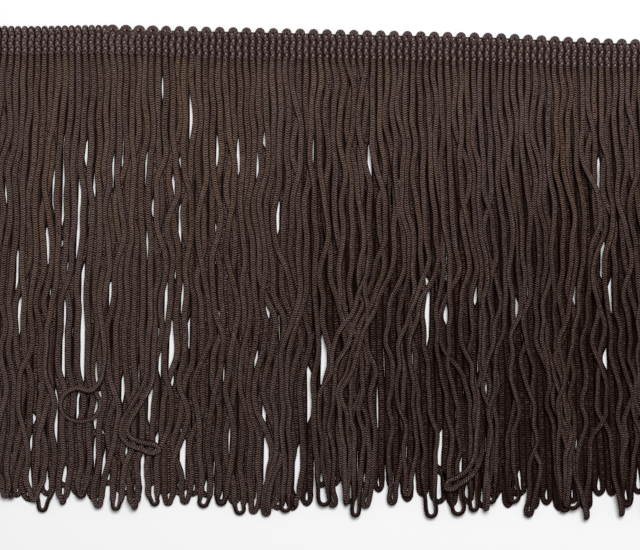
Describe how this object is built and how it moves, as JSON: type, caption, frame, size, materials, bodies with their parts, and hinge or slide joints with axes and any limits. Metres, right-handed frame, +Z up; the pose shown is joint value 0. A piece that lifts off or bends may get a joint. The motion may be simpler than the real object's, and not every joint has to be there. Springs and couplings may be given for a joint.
{
  "type": "loop fringe trim",
  "caption": "Length of fringe trim lying flat: a narrow ribbed heading with a dense row of knitted cord loops falling from it, used to edge cushions, curtains, lampshades and clothing.",
  "frame": {"origin": "Middle of the bounding box in X and Y, on the surface the trim lies on.", "axes": "X runs along the heading, +Y points from the loops to the heading's top edge, +Z is up, away from the surface."},
  "size_m": [0.2314, 0.1535, 0.0049],
  "materials": {
    "heading_cord": "dark brown knitted cord, close ribs, soft sheen",
    "loop_cord": "dark brown knitted cord, matt with a soft sheen"
  },
  "bodies": {
    "root": {"heading": "heading_cord", "loop_fringe": "loop_cord"}
  },
  "joints": []
}
